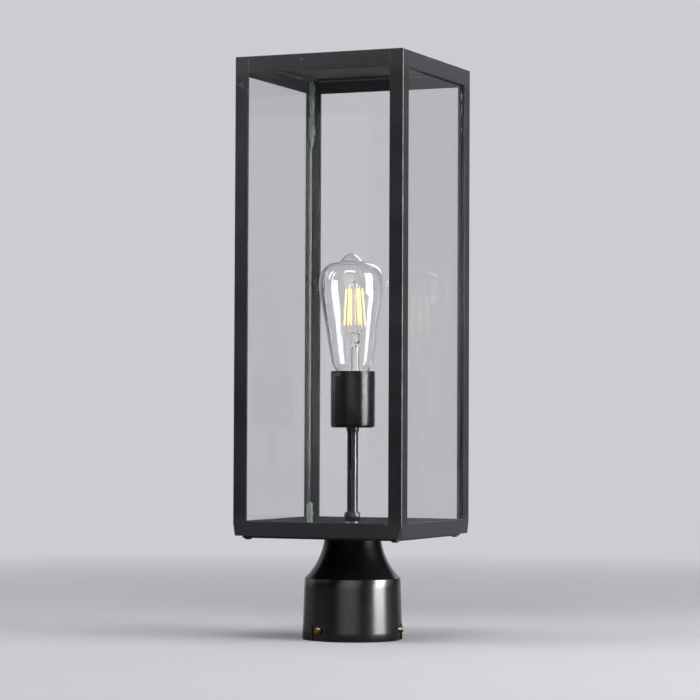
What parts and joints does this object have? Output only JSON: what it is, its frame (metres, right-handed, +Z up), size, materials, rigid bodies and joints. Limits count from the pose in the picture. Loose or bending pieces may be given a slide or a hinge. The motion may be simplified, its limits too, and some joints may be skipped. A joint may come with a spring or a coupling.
{
  "type": "post top lantern",
  "caption": "Tall square glazed lantern of black steel angle with a solid roof and a clear filament bulb, on a round fitter that slips over a lamp post.",
  "frame": {"origin": "centre of the fitter's rim, at the underside", "axes": "+Z up along the post; the front of the cage faces -Y"},
  "size_m": [0.16, 0.16, 0.514],
  "materials": {
    "cage_paint": "satin black paint on welded steel, worn on the corners",
    "fitter_paint": "satin black paint",
    "stem_paint": "gloss black",
    "cup_paint": "satin black",
    "screw_black": "blackened steel",
    "pane_glass": "clear",
    "bulb_glass": "clear",
    "sealant": "clear silicone",
    "brass": "bright",
    "zinc": "zinc plated",
    "nickel": "nickel plated",
    "nickel_wire": "drawn wire",
    "solder": "tinned",
    "porcelain": "glazed",
    "cap_insulator": "black glass insulator",
    "earth_green": "green",
    "phosphor": "yellow phosphor coat"
  },
  "bodies": {
    "post_base": {"post_fitter": "fitter_paint", "base_plate": "cage_paint", "stem_pipe": "stem_paint", "stem_foot_nut": "stem_paint", "stem_coupling": "stem_paint", "pipe_lock_nut": "zinc", "pipe_lock_washer": "zinc", "earth_screw": "earth_green", "cup_seat_ring": "stem_paint", "socket_cup": "cup_paint", "cup_lock_nut": "zinc", "lampholder_bracket": "zinc", "bracket_screws": "zinc", "lampholder_body": "porcelain", "terminal_screws": "brass", "lampholder_shell": "brass", "lampholder_contact": "brass"},
    "cage": {"corner_post_front_left": "cage_paint", "corner_post_front_right": "cage_paint", "corner_post_rear_right": "cage_paint", "corner_post_rear_left": "cage_paint", "top_rail_front": "cage_paint", "top_rail_right": "cage_paint", "top_rail_rear": "cage_paint", "top_rail_left": "cage_paint", "bottom_rail_front": "cage_paint", "bottom_rail_right": "cage_paint", "bottom_rail_rear": "cage_paint", "bottom_rail_left": "cage_paint", "roof_plate": "cage_paint", "glass_pane_front": "pane_glass", "glass_pane_right": "pane_glass", "glass_pane_rear": "pane_glass", "glass_pane_left": "pane_glass", "glass_sealant": "sealant"},
    "bulb": {"bulb_envelope": "bulb_glass", "bulb_cap": "nickel", "bulb_insulator": "cap_insulator", "bulb_end_contact": "solder", "bulb_stem": "bulb_glass", "bulb_filaments": "phosphor", "bulb_support_wires": "nickel_wire"},
    "set_screw_right": {"set_screw_right": "brass"},
    "set_screw_rear": {"set_screw_rear": "brass"},
    "set_screw_front": {"set_screw_front": "brass"},
    "plate_screw_front_left": {"plate_screw_front_left": "screw_black"},
    "plate_screw_front_right": {"plate_screw_front_right": "screw_black"},
    "plate_screw_rear_right": {"plate_screw_rear_right": "screw_black"},
    "plate_screw_rear_left": {"plate_screw_rear_left": "screw_black"}
  },
  "joints": [
    {"name": "cage_lift", "type": "slide", "parent": "post_base", "child": "cage", "axis": [0, 0, 1], "range_m": [0, 0.262]},
    {"name": "bulb_lift", "type": "slide", "parent": "post_base", "child": "bulb", "axis": [0, 0, 1], "range_m": [0, 0.032]},
    {"name": "set_screw_right_run", "type": "slide", "parent": "post_base", "child": "set_screw_right", "axis": [-0.9877, -0.1564, 0], "range_m": [-0.002, 0.003]},
    {"name": "set_screw_rear_run", "type": "slide", "parent": "post_base", "child": "set_screw_rear", "axis": [0.6293, -0.7771, 0], "range_m": [-0.002, 0.003]},
    {"name": "set_screw_front_run", "type": "slide", "parent": "post_base", "child": "set_screw_front", "axis": [0.3584, 0.9336, 0], "range_m": [-0.002, 0.003]},
    {"name": "plate_screw_front_left_run", "type": "slide", "parent": "post_base", "child": "plate_screw_front_left", "axis": [0, 0, -1], "range_m": [0, 0.009]},
    {"name": "plate_screw_front_right_run", "type": "slide", "parent": "post_base", "child": "plate_screw_front_right", "axis": [0, 0, -1], "range_m": [0, 0.009]},
    {"name": "plate_screw_rear_right_run", "type": "slide", "parent": "post_base", "child": "plate_screw_rear_right", "axis": [0, 0, -1], "range_m": [0, 0.009]},
    {"name": "plate_screw_rear_left_run", "type": "slide", "parent": "post_base", "child": "plate_screw_rear_left", "axis": [0, 0, -1], "range_m": [0, 0.009]}
  ]
}
